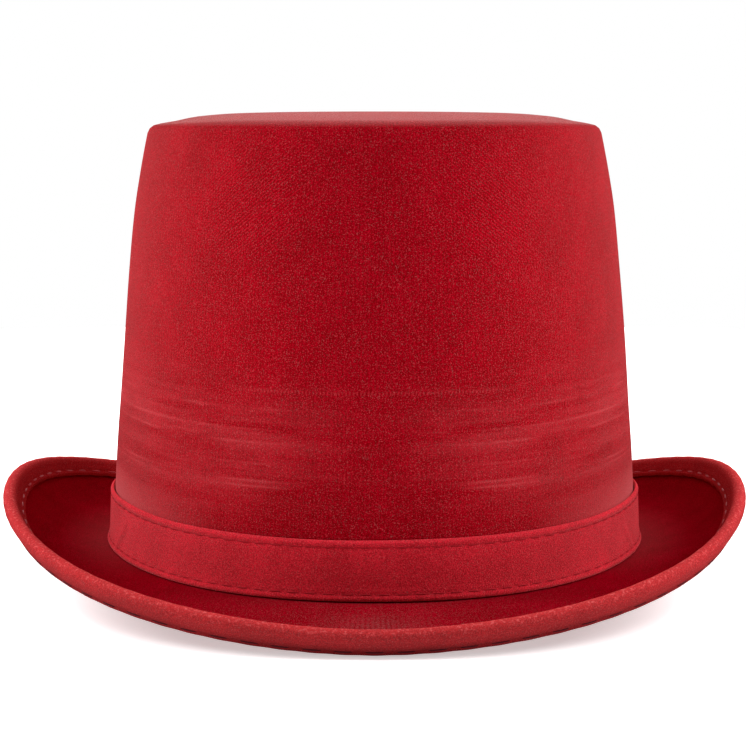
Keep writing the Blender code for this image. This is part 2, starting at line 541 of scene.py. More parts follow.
def start_material(name: str) -> tuple[bpy.types.Material, Value]:
    """Start a material with an empty node tree.

    Args:
        name: Name of the material.

    Returns:
        The material, and the place of each point of a piece in its own coordinates.
    """
    material = bpy.data.materials.new(name)
    material.use_nodes = True
    material.node_tree.nodes.clear()
    return material, Value(add_node(material.node_tree, "TexCoord", {}), "Object")


def end_material(colour: Value, relief: Feeds, shader: Feeds) -> None:
    """Give a material its relief, its shader and its output.

    Args:
        colour: The colour over the surface.
        relief: Inputs of the bump: the height, how deep it is and how strongly it shows.
        shader: Inputs of the shader that are the same all over.
    """
    normal = Value(add_node(colour.tree, "Bump", relief))
    surface = add_node(colour.tree, "BsdfPrincipled", {**shader, "Base Color": colour, "Normal": normal})
    add_node(colour.tree, "OutputMaterial", {"Surface": Value(surface)})


@dataclass(frozen=True)
class Specks:
    """Soft spots of a real size in metres, drawn by noise between two of its levels."""

    size: float
    detail: float
    low: float
    high: float

    def noise(self, place: Value) -> Value:
        """The bare noise at each place."""
        inputs = {"Vector": place, "Scale": 1.0 / self.size, "Detail": self.detail, "Roughness": 0.6}
        return Value(add_node(place.tree, "TexNoise", inputs))

    def over(self, place: Value, start: float = 0.0, end: float = 1.0) -> Value:
        """The spots at each place, with one strength between them and another in them."""
        return self.noise(place).into("MapRange", self.low, self.high, start, end)


@dataclass
class Pile:
    """How the pile looks at each place: how far toward the lighter red, by tufts, knit, wear and painted
    highlights; how far paled by painted sheen, painted glints and wear; how far darkened by painted shade.
    """

    place: Value
    lit: Value
    haze: Value
    shade: Value | None = None


@dataclass(frozen=True)
class Velour:
    """Velour: a knitted cloth with a short cut pile.

    Seen into the pile it is deep crimson; seen along it the pile's sides catch the light, so
    the shader's sheen pales it at a slant. The tufts stand a little unevenly. Glints are painted
    into the colour as pale specks, and a pale haze mixes in painted sheen and, on some pieces,
    the paleness of wear. Real tufts are about 0.1 mm wide, too fine for the picture, so tufts
    and glints are drawn three times as wide.
    """

    name: str
    deep: str = "7C0008"
    lit: str = "B4001A"
    # The sheen's tint, and the pale colour that painted sheen and glints mix toward.
    bloom: str = "F4D4D0"
    # The colour that painted shade darkens toward.
    shadow: str = "3C0006"
    lit_share: float = 0.37
    # A pale haze over the whole cloth: painted sheen.
    haze: float = 0.0
    sheen: float = 0.13
    sheen_roughness: float = 0.40
    patches: Specks = Specks(16.0 * MM, 4.0, 0.30, 0.70)
    patch_contrast: float = 0.16
    tufts: Specks = Specks(0.36 * MM, 2.0, 0.25, 0.75)
    tuft_contrast: float = 0.95
    # Painted glints: pale specks mixed into the colour.
    glints: Specks = Specks(0.30 * MM, 0.0, 0.61, 0.76)
    glint: float = 0.065
    relief: float = 0.4 * MM
    girth: float = 590.0 * MM
    sides: Span = (85.0 * MM, 130.0 * MM)

    def material(self) -> bpy.types.Material:
        """Build the material.

        Returns:
            The new material.
        """
        material, place = start_material(self.name)
        tufts = self.tufts.noise(place)
        lit = tufts.into(
            "MapRange", self.tufts.low, self.tufts.high, -self.tuft_contrast, self.tuft_contrast
        )
        lit = lit + self.patches.over(place, -self.patch_contrast, self.patch_contrast) + self.lit_share
        # The haze starts as painted glints over the base haze of painted sheen.
        pile = Pile(place, lit, self.glints.over(place, self.haze, self.haze + self.glint))
        self.wear_and_painted_light(pile)
        colour = linear_colour(self.deep)
        # Mix toward the lighter red, then toward the pale of painted sheen, glints and wear, then into
        # painted shade.
        for share, other in ((pile.lit, self.lit), (pile.haze, self.bloom), (pile.shade, self.shadow)):
            if share is not None:
                inputs = {0: share, 6: colour, 7: linear_colour(other)}
                mix = add_node(place.tree, "Mix", inputs, data_type="RGBA", clamp_factor=True)
                colour = Value(mix, 2)
        relief = {"Height": tufts, "Distance": self.relief, "Strength": 1.0}
        shader = {
            "Roughness": 0.95,
            "Specular IOR Level": 0.0,
            "Sheen Weight": self.sheen,
            "Sheen Roughness": self.sheen_roughness,
            "Sheen Tint": linear_colour(self.bloom),
        }
        end_material(colour, relief, shader)
        return material

    def wear_and_painted_light(self, pile: Pile) -> None:
        """Add the wear and the painted light and shade of a kind of velour to its pile; plain velour has
        none.
        """

    def measure(self, pile: Pile) -> tuple[Value, Value, Value]:
        """Read the cloth's own measure, in metres.

        Args:
            pile: The pile on the cloth.

        Returns:
            The way round the hat, the way up the cloth, and the way round from the middle of the
            front by the shorter side, so that what is drawn with it closes behind.
        """
        cloth = Value(add_node(pile.place.tree, "UVMap", {}, uv_map=PATTERN))
        axes = add_node(pile.place.tree, "SeparateXYZ", {0: cloth})
        around, up = Value(axes, "X"), Value(axes, "Y")
        half = self.girth / 2.0
        return around, up, half - abs(abs(around + half / 2.0) - half)


@dataclass(frozen=True)
class CrownVelour(Velour):
    """Velour blocked over the crown: rubbed in level streaks, ribbed where it was stretched.

    The knit shows through as faint upright wales, and a row of pins left marks. Painted
    sheen pales the edge of the tip, the sides, and the sides just above the band.
    """

    rubbed: float = 0.95
    rubbed_low: float = 28.0 * MM
    rubbed_high: float = 62.0 * MM
    rubbed_fade: float = 9.0 * MM
    streaks: Specks = Specks(1.0, 3.5, 0.40, 0.68)
    streaks_per_metre: Span = (12.0, 170.0)
    press_lines: tuple[float, ...] = (33.5 * MM, 35.2 * MM, 40.5 * MM, 46.9 * MM, 50.8 * MM, 57.1 * MM)
    press_reach: float = 0.6 * MM
    dashes: Specks = Specks(1.0, 3.5, 0.46, 0.62)
    dashes_per_metre: Span = (34.0, 90.0)
    front_wear: float = 0.15
    front_fade: Span = (6.0 * MM, 42.0 * MM)
    pinned: float = 1.1
    pin_row: float = 62.7 * MM
    pin_height: float = 0.8 * MM
    pin_pitch: float = 1.25 * MM
    pin_fade: Span = (40.0 * MM, 50.0 * MM)
    # Painted sheen at the sides just above the band, carried with the wear.
    painted_sheen_above_band: float = 2.8
    foot_sides: Span = (55.0 * MM, 120.0 * MM)
    foot_fade: Span = (20.0 * MM, 30.0 * MM)
    # How much the wear, with the painted sheen above the band, lightens and pales the pile.
    wear_lit: float = 0.32
    wear_haze: float = 0.028
    # Painted sheen at the crown's sides, stronger low down.
    painted_side_sheen: Span = (0.014, 0.007)
    painted_side_sheen_fade: Span = (26.0 * MM, 124.0 * MM)
    # Painted sheen at the tip's edge: paler, and a little less red.
    tip_edge: Span = (142.3 * MM, 145.8 * MM)
    tip_painted_sheen: float = 0.085
    tip_painted_sheen_dimming: float = 0.30
    rib_pitch: float = 1.0 * MM
    rib_slant: float = 1.5
    rib_lit: float = 0.38
    rib_height: Span = (100.0 * MM, 138.0 * MM)
    rib_place: Span = (24.0 * MM, 66.0 * MM)
    rib_fade: float = 12.0 * MM
    wale_pitch: float = 1.4 * MM
    wale_lit: float = 0.12

    def wear_and_painted_light(self, pile: Pile) -> None:
        """Add the rubbed streaks, press lines, pin marks and knit, and painted sheen at the tip and the
        sides.

        Args:
            pile: How the unworn pile looks; it takes the wear and the painted sheen.
        """
        around, height, from_front = self.measure(pile)
        dashes = self.drawn_out(self.dashes, self.dashes_per_metre, from_front, height)
        streaks = self.drawn_out(self.streaks, self.streaks_per_metre, from_front, height) * self.rubbed
        wear_and_painted_light = streaks * height.between(self.rubbed_low, self.rubbed_high, self.rubbed_fade)
        for level in self.press_lines:
            wear_and_painted_light = wear_and_painted_light + height.line(level, self.press_reach) * dashes
        wear_and_painted_light = wear_and_painted_light * from_front.into("MapRange", *self.front_fade, self.front_wear, 1.0)
        pins = around.wave(self.pin_pitch).into("MapRange", 0.0, 1.0, 0.0, self.pinned)
        pins = pins * height.line(self.pin_row, self.pin_height)
        wear_and_painted_light = wear_and_painted_light + pins * from_front.into("MapRange", *self.pin_fade, 1.0, 0.0)
        # Painted sheen at the sides just above the band, added to the wear.
        foot = from_front.into("MapRange", *self.foot_sides, 0.0, self.painted_sheen_above_band)
        wear_and_painted_light = wear_and_painted_light + foot * height.into("MapRange", *self.foot_fade, 1.0, 0.0)
        # Painted sheen at the sides, fading upwards.
        side = height.into("MapRange", *self.painted_side_sheen_fade, *self.painted_side_sheen)
        side = side * from_front.into("MapRange", *self.sides, 0.0, 1.0)
        # Painted sheen toward the tip: paler and a little less red.
        tip = height.into("MapRange", *self.tip_edge, 0.0, self.tip_painted_sheen)
        pile.haze = pile.haze + wear_and_painted_light * self.wear_haze + side + tip
        pile.lit = pile.lit + tip * (-self.tip_painted_sheen_dimming / self.tip_painted_sheen) + wear_and_painted_light * self.wear_lit
        pile.lit = pile.lit + self.knit(around, height, from_front)

    def knit(self, around: Value, height: Value, from_front: Value) -> Value:
        """Show the knit through the pile: faint upright wales, and slanting ribs near the shoulder.

        Args:
            around: Metres round the hat.
            height: Metres up the cloth.
            from_front: Metres round the hat from the middle of the front.

        Returns:
            How much the knit adds to the lit pile.
        """
        slanting = from_front + height * self.rib_slant
        ribs = slanting.wave(self.rib_pitch * math.hypot(1.0, self.rib_slant))
        high = height.between(*self.rib_height, self.rib_fade)
        ribbed = high * from_front.between(*self.rib_place, self.rib_fade)
        return around.wave(self.wale_pitch) * self.wale_lit + ribs * (ribbed * self.rib_lit)

    def drawn_out(
        self, specks: Specks, per_metre: Span, from_front: Value, height: Value
    ) -> Value:
        """Draw specks out along the cloth.

        Args:
            specks: The specks, one for each unit of the stretched measure.
            per_metre: How many to a metre round the hat and up the cloth.
            from_front: Metres round the hat from the middle of the front.
            height: Metres up the cloth.

        Returns:
            The strength of the specks at each place.
        """
        inputs = {"X": from_front * per_metre[0], "Y": height * per_metre[1]}
        return specks.over(Value(add_node(height.tree, "CombineXYZ", inputs)))


@dataclass(frozen=True)
class BrimVelour(Velour):
    """Velour of the brim: worn thin in the middle of the front, where the knit shows paler."""

    spot_reach: float = 19.0 * MM
    spot_fade: Span = (8.0 * MM, 16.0 * MM)
    spot_haze: float = 0.020
    # Painted glints beside the worn spot.
    thin_reach: float = 75.0 * MM
    thin_painted_glints: Specks = Specks(0.30 * MM, 1.0, 0.54, 0.70)
    thin_painted_glint: float = 0.05
    # Painted light: paler next to the band at the sides.
    painted_light_by_band: float = 0.017
    seat_fade: Span = (5.0 * MM, 20.0 * MM)
    wale_pitch: float = 1.4 * MM

    def wear_and_painted_light(self, pile: Pile) -> None:
        """Add the worn spot, painted glints beside it, and painted light that pales the brim next to the
        band at the sides.

        Args:
            pile: How the unworn pile looks; it takes the wear and the painted light.
        """
        around, across, from_front = self.measure(pile)
        spot = from_front.into("MapRange", 0.0, self.spot_reach, self.spot_haze, 0.0)
        spot = spot * across.into("MapRange", *self.spot_fade, 0.0, 1.0)
        spot = spot * around.wave(self.wale_pitch).into("MapRange", -1.0, 1.0, 0.5, 1.5)
        # Painted glints beside the worn spot.
        thin = from_front.into("MapRange", self.spot_reach, self.thin_reach, 1.0, 0.0)
        thin = self.thin_painted_glints.over(pile.place, 0.0, self.thin_painted_glint) * thin
        # Painted light next to the band at the sides.
        seat = across.into("MapRange", *self.seat_fade, self.painted_light_by_band, 0.0)
        seat = seat * from_front.into("MapRange", *self.sides, 0.0, 1.0)
        pile.haze = pile.haze + spot + thin + seat


@dataclass(frozen=True)
class BandVelour(Velour):
    """Velour of the band: a painted highlight on its plump turned-in hems, painted shade in the sewn
    grooves.
    """

    hem: float = 2.2 * MM
    hem_soft: float = 0.4 * MM
    # Painted highlights on the hems.
    hem_painted_highlight: float = 0.06
    foot_share: float = 0.5
    # Painted shade in the sewn grooves, deeper at the sides.
    groove: float = 0.34 * MM
    groove_shade: Span = (0.20, 0.50)
    groove_sides: Span = (20.0 * MM, 110.0 * MM)

    def wear_and_painted_light(self, pile: Pile) -> None:
        """Paint a highlight on both hems and shade into the sewn grooves beside them, deeper at the sides.

        Args:
            pile: How the unworn pile looks; it takes the painted highlights and shade.
        """
        _, height, from_front = self.measure(pile)
        top, soft = BAND_HEIGHT - self.hem, self.hem_soft
        # Painted highlights on the plump hems.
        top_hem = height.into("MapRange", top - soft, top + soft, 0.0, self.hem_painted_highlight)
        foot_hem_painted_highlight = self.hem_painted_highlight * self.foot_share
        foot_hem = height.into("MapRange", self.hem - soft, self.hem + soft, foot_hem_painted_highlight, 0.0)
        pile.lit = pile.lit + (top_hem + foot_hem)
        # Painted shade in the sewn grooves, deeper toward the sides.
        foot_groove = height.line(self.hem, self.groove) * self.foot_share
        grooves = height.line(top, self.groove) + foot_groove
        pile.shade = grooves * from_front.into("MapRange", *self.groove_sides, *self.groove_shade)


@dataclass(frozen=True)
class BindingVelour(Velour):
    """Velour of the binding: painted shade on the inner face, toward the front and below, painted
    highlights and glints over the crest, painted sheen on the fold.
    """

    girth: float = 816.0 * MM
    # Painted shade on the inner face, and painted sheen on the fold beyond it, turn over here.
    face_edge: Span = (5.3 * MM, 7.1 * MM)
    face_shade: float = 0.28
    # Painted sheen on the fold.
    fold_painted_sheen: float = 0.022
    # Painted highlight along the crest.
    crest: Span = (7.2 * MM, 10.8 * MM)
    crest_fade: float = 0.9 * MM
    crest_painted_highlight: float = 0.34
    # Painted shade toward the under side and toward the front.
    lower_painted_shade_edge: Span = (10.2 * MM, 13.8 * MM)
    lower_painted_shade: float = 0.30
    front_painted_shade: float = 0.14
    front_fade: Span = (20.0 * MM, 120.0 * MM)
    # Painted shadow on the under side.
    under_painted_shadow_edge: Span = (15.3 * MM, 17.1 * MM)
    dark: float = 0.52
    # Painted highlights and glints in specks along the crest.
    specks: Specks = Specks(0.9 * MM, 1.5, 0.55, 0.68)
    speck_painted_highlight: float = 1.6
    speck_painted_glint: float = 0.085

    def wear_and_painted_light(self, pile: Pile) -> None:
        """Paint sheen on the fold, highlights and glints along the crest, and shade on the inner face,
        toward the front and on the under side.

        Args:
            pile: How the unworn pile looks; it takes the painted light and shade.
        """
        _, across, from_front = self.measure(pile)
        # Painted sheen on the fold, painted highlights and glints along the crest.
        fold = across.into("MapRange", *self.face_edge, 0.0, self.fold_painted_sheen)
        crest = across.between(*self.crest, self.crest_fade)
        specks = self.specks.over(pile.place) * crest
        pile.lit = pile.lit + crest * self.crest_painted_highlight + specks * self.speck_painted_highlight
        pile.haze = pile.haze + specks * self.speck_painted_glint + fold
        # Painted shade toward the under side, toward the front and on the inner face, and a painted shadow
        # on the under side.
        lower_shade = across.into("MapRange", *self.lower_painted_shade_edge, 0.0, self.lower_painted_shade)
        dark = across.into("MapRange", *self.under_painted_shadow_edge, 0.0, self.dark - self.lower_painted_shade)
        front = from_front.into("MapRange", *self.front_fade, self.front_painted_shade, 0.0)
        face = across.into("MapRange", *self.face_edge, self.face_shade, 0.0)
        pile.shade = lower_shade + front + (face + dark)


@dataclass(frozen=True)
class Thread:
    """Spun polyester sewing thread, dyed to the cloth: smooth, so it never pales as the pile does."""

    name: str
    dark: str
    light: str
    twist: float = 0.4 * MM
    relief: float = 0.1 * MM

    def material(self) -> bpy.types.Material:
        """Build the material.

        Returns:
            The new material.
        """
        material, place = start_material(self.name)
        inputs = {"Vector": place, "Scale": 1.0 / self.twist, "Detail": 2.0}
        twist = Value(add_node(place.tree, "TexNoise", inputs))
        inputs = {0: twist, 6: linear_colour(self.dark), 7: linear_colour(self.light)}
        colour = Value(add_node(place.tree, "Mix", inputs, data_type="RGBA"), 2)
        relief = {"Height": twist, "Distance": self.relief, "Strength": 0.4}
        end_material(colour, relief, {"Roughness": 0.6, "Specular IOR Level": 0.05})
        return material


@dataclass
class Crown:
    """The one-piece crown: side and tip, blocked from one cloth, open at the foot."""

    block: HatBlock
    around: int = 256
    rows: int = 110
    wall: float = 2.0 * MM
    slack: float = 0.35 * MM
    slack_size: float = 42.0 * MM
    slack_seed: float = 3.7
    foot_fade: float = 25.0 * MM
    shoulder_fade: float = 12.0 * MM

    def build(self) -> Piece:
        """Cut the cloth, press it over the block and give it its wall.

        Returns:
            The finished crown.
        """
        piece = cut_cloth("crown_cloth", self.around, self.rows, Cut.STRIP)
        self.close_tip(piece)
        angle, reach, share = laid_flat(piece)
        foot = -self.block.brim_wall
        radius = self.block.half_width - self.block.shoulder_inset
        length = self.block.side(angle) + radius - foot
        along = foot + length * np.where(reach < 0.5, 1.0, share)
        points = self.block.crown(angle, along)
        points += self.slackness(angle, along, points)
        press(piece, points)
        lay_pattern(piece, angle, self.block.girth(), along)
        on_tip = along > self.block.side(angle)
        for face in piece.data.polygons:
            face.material_index = int(all(on_tip[k] for k in face.vertices))
        face_outwards(piece)
        dress(piece, Finish.CROWN, CROWN_VELOUR.material(), TIP_VELOUR.material(), BACKING.material())
        give_wall(piece, self.wall, -1.0, backing_slot=2)
        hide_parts("crown")
        return piece

    def close_tip(self, piece: Piece) -> None:
        """Gather the strip's last row to one point, the middle of the tip.

        Args:
            piece: The strip as it was cut.
        """
        select_only(piece)
        for vertex in piece.data.vertices:
            vertex.select = vertex.co.z > 1.0 - 0.5 / self.rows
        bpy.ops.object.mode_set(mode="EDIT")
        bpy.ops.mesh.select_mode(type="VERT")
        bpy.ops.mesh.merge(type="CENTER")
        bpy.ops.object.mode_set(mode="OBJECT")

    def slackness(self, angle: Array, along: Array, points: Array) -> Array:
        """Let the cloth stand off the block unevenly, less and less towards the foot and the tip.

        Args:
            angle: Angles round the hat.
            along: Metres along the cloth from the brim's floor.
            points: The points of the cloth on the block.

        Returns:
            How far and which way each point stands off.
        """
        swell = self.slack * unevenness(points, self.slack_size, self.slack_seed)
        below_shoulder = self.block.side(angle) - along
        fade = np.clip(along / self.foot_fade, 0.0, 1.0)
        fade = fade * np.clip(below_shoulder / self.shoulder_fade, 0.0, 1.0)
        out = stacked(np.cos(angle), np.sin(angle), np.zeros_like(angle))
        return out * (swell * fade)[:, None]


@dataclass
class Brim:
    """The brim: two faces of velour over a felt core, dipped ahead and behind, swept up at the sides."""

    block: HatBlock
    around: int = 256
    rows: int = 48
    slack: float = 0.3 * MM
    slack_size: float = 38.0 * MM
    slack_seed: float = 9.1

    def build(self) -> Piece:
        """Cut the ring, press it over the block and give it its wall.

        Returns:
            The finished brim.
        """
        piece = cut_cloth("brim_cloth", self.around, self.rows, Cut.RING)
        angle, reach, _ = laid_flat(piece)
        across = reach - 1.0
        points = self.block.brim(angle, across)
        swell = unevenness(points, self.slack_size, self.slack_seed)
        points[:, 2] += self.slack * swell * np.sin(np.pi * np.clip(across, 0.0, 1.0)) ** 2
        press(piece, points)
        lay_pattern(piece, angle, self.block.girth(), across * self.block.front_brim_width)
        face_outwards(piece)
        dress(piece, Finish.BRIM, BRIM_VELOUR.material())
        give_wall(piece, self.block.brim_wall, 0.0)
        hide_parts("brim")
        return piece


@dataclass(frozen=True)
class StitchLine:
    """A row of stitches: how many there are, and the size and shape of each."""

    count: int
    length: float
    thickness: float
    flatness: float = 0.8
    taper: float = 0.25

    def sew(self, name: str, middle: Array, way: Array, face: Array) -> Piece:
        """Model one stitch and copy it along the line.

        Args:
            name: Name of the piece.
            middle: Where the middle of each stitch lies.
            way: Which way the line runs there.
            face: Which way the cloth faces there.

        Returns:
            All the stitches of the line as one piece.
        """
        bpy.ops.object.select_all(action="DESELECT")
        bpy.ops.mesh.primitive_uv_sphere_add(
            segments=6, ring_count=5, radius=0.5, location=(0.0, 0.0, 0.0)
        )
        one = bpy.context.object
        shape = points_of(one)
        corners = [tuple(polygon.vertices) for polygon in one.data.polygons]
        bpy.data.objects.remove(one, do_unlink=True)
        shape[:, 0] *= 1.0 - self.taper * np.abs(shape[:, 2] * 2.0) ** 4
        shape *= (self.thickness, self.thickness * self.flatness, self.length)
        ways = np.stack([unit(np.cross(face, way)), face, way], axis=1)
        points = middle[:, None, :] + shape[None] @ ways
        starts = range(0, self.count * len(shape), len(shape))
        faces = [tuple(k + start for k in polygon) for start in starts for polygon in corners]
        mesh = bpy.data.meshes.new(name)
        mesh.from_pydata(points.reshape(-1, 3).tolist(), [], faces)
        mesh.shade_smooth()
        piece = bpy.data.objects.new(name, mesh)
        bpy.context.scene.collection.objects.link(piece)
        return piece


@dataclass
class Strip(ABC):
    """A strip of velour sewn on all round the hat: what the band and the binding share."""

    block: HatBlock
    stitches: StitchLine
    seam_pull: tuple[float, float, float]
    finish: ClassVar[Finish]
    thread_lift: ClassVar[float] = 0.05 * MM

    @abstractmethod
    def section(self, angle: Array, level: Array) -> tuple[Array, Array]:
        """What carries the strip at each angle and level, and which way the strip stands off it."""

    @abstractmethod
    def standoff(self, angle: Array, level: Array) -> Array:
        """How far the strip's outer face stands off what carries it."""

    def surface(self, angle: Array, level: Array, lift: float = 0.0) -> Array:
        """Points of the strip's outer face, or of a place a lift above it."""
        base, way = self.section(angle, level)
        return base + way * (self.standoff(angle, level) + lift)[..., None]

    def needle(self, angle: Array) -> Array:
        """One at each needle hole, nothing at the middle of each stitch."""
        return np.cos(angle * self.stitches.count / 2.0) ** 2

    def drawn_in(self, angle: Array) -> Array:
        """How deep a seam draws the cloth in: along the stitches, round the holes and at a hole."""
        along, near, hole = self.seam_pull
        return along + near * self.needle(angle) + hole * self.needle(angle) ** 6

    def stitch(self, name: str, level: float, thread: Thread) -> Piece:
        """Sew one line of stitches along the strip.

        Args:
            name: Name of the piece.
            level: Where the line runs, in the second measure of the strip's surface.
            thread: Finish of the thread.

        Returns:
            All the stitches of the line as one piece.
        """
        angle = (np.arange(self.stitches.count) + 0.5) * TAU / self.stitches.count
        levels = np.full_like(angle, level)
        step = 0.3 / self.stitches.count
        way = unit(self.surface(angle + step, levels) - self.surface(angle - step, levels))
        middle = self.surface(angle, levels, self.thread_lift)
        piece = self.stitches.sew(name, middle, way, self.section(angle, levels)[1])
        dress(piece, self.finish, thread.material())
        return piece


@dataclass
class Band(Strip):
    """The band: a strip round the crown's foot, both edges turned in and topstitched."""

    stitches: StitchLine = StitchLine(100, 3.9 * MM, 0.5 * MM)
    seam_pull: tuple[float, float, float] = (0.45, 0.25, 0.30)
    around: int = 720
    rows: int = 38
    height: float = BAND_HEIGHT
    wall: float = 1.2 * MM
    cloth_share: float = 0.75
    top_hem: Ridge = Ridge(0.14 * MM, 1.15 * MM, 0.95 * MM)
    foot_hem: Ridge = Ridge(0.08 * MM, 1.2 * MM, 0.95 * MM)
    top_edge: Ridge = Ridge(-0.75 * MM, 0.0, 0.42 * MM)
    foot_edge: Ridge = Ridge(-0.5 * MM, 0.3 * MM, 0.4 * MM)
    top_trough: Ridge = Ridge(-0.40 * MM, 2.3 * MM, 0.5 * MM)
    foot_trough: Ridge = Ridge(-0.40 * MM, 2.4 * MM, 0.5 * MM)
    hem_pinch: float = 0.35
    flare: float = 1.0 * MM
    flare_height: float = 5.0 * MM
    crease_angles: Span = (-2.76, -0.38)
    crease_slant: float = 0.9
    crease_level: Ridge = Ridge(1.0, 6.0 * MM, 5.0 * MM)
    crease_fold: Ridge = Ridge(0.45 * MM, 0.0, 1.7 * MM)
    crease_hollow: Ridge = Ridge(-0.30 * MM, 3.4 * MM, 2.0 * MM)
    slack: float = 0.25 * MM
    slack_size: float = 30.0 * MM
    slack_seed: float = 5.3
    finish: ClassVar[Finish] = Finish.BAND

    def section(self, angle: Array, level: Array) -> tuple[Array, Array]:
        """The crown's side at each angle and height above the brim's floor, and which way it faces."""
        _, face = self.block.directions(self.block.crown_side, angle, level)
        return self.block.crown_side(angle, level), face

    def standoff(self, angle: Array, level: Array) -> Array:
        """How far the band's outer face stands off the crown.

        Args:
            angle: Angles round the hat.
            level: Heights above the brim's floor.

        Returns:
            The wall, the puffed hems, the stitched troughs, the flared foot and the creases.
        """
        from_top = self.height - level
        hems = self.top_hem.rise(from_top) + self.foot_hem.rise(level)
        hems = hems * (1.0 - self.hem_pinch * self.needle(angle) ** 3)
        edges = self.top_edge.rise(from_top) + self.foot_edge.rise(level)
        troughs = (self.top_trough.rise(from_top) + self.foot_trough.rise(level)) * self.drawn_in(angle)
        flare = self.flare * (1.0 - np.clip(level / self.flare_height, 0.0, 1.0)) ** 1.5
        return self.block.gap + self.wall + hems + edges + troughs + flare + self.creases(angle, level)

    def creases(self, angle: Array, level: Array) -> Array:
        """Raise soft slanting creases above the lower hem at both sides of the front.

        Args:
            angle: Angles round the hat.
            level: Heights above the brim's floor.

        Returns:
            How far the creases stand up.
        """
        total = np.zeros_like(angle)
        for middle, slant in zip(self.crease_angles, (self.crease_slant, -self.crease_slant)):
            away = (angle - middle) * self.block.half_width - slant * (level - self.crease_level.at)
            fold = self.crease_fold.rise(away) + self.crease_hollow.rise(away)
            total += fold * self.crease_level.rise(level)
        return total

    def build(self) -> Piece:
        """Cut the strip, press it round the crown's foot and give it its wall.

        Returns:
            The finished band.
        """
        piece = cut_cloth("band_cloth", self.around, self.rows, Cut.STRIP)
        angle, _, share = laid_flat(piece)
        level = self.block.gap + (self.height - self.block.gap) * share
        points = self.surface(angle, level)
        points[:, 2] += self.slack * unevenness(points, self.slack_size, self.slack_seed) * share
        press(piece, points)
        lay_pattern(piece, angle, self.block.girth(), level)
        face_outwards(piece)
        dress(piece, self.finish, BAND_VELOUR.material())
        give_wall(piece, self.wall * self.cloth_share, -1.0)
        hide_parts("band")
        return piece

    def declare(self, piece: Piece, threads: list[Piece]) -> None:
        """Work out the flat size that the band was cut to; it is not passed on."""
        flat = (self.height, self.block.girth(self.wall))


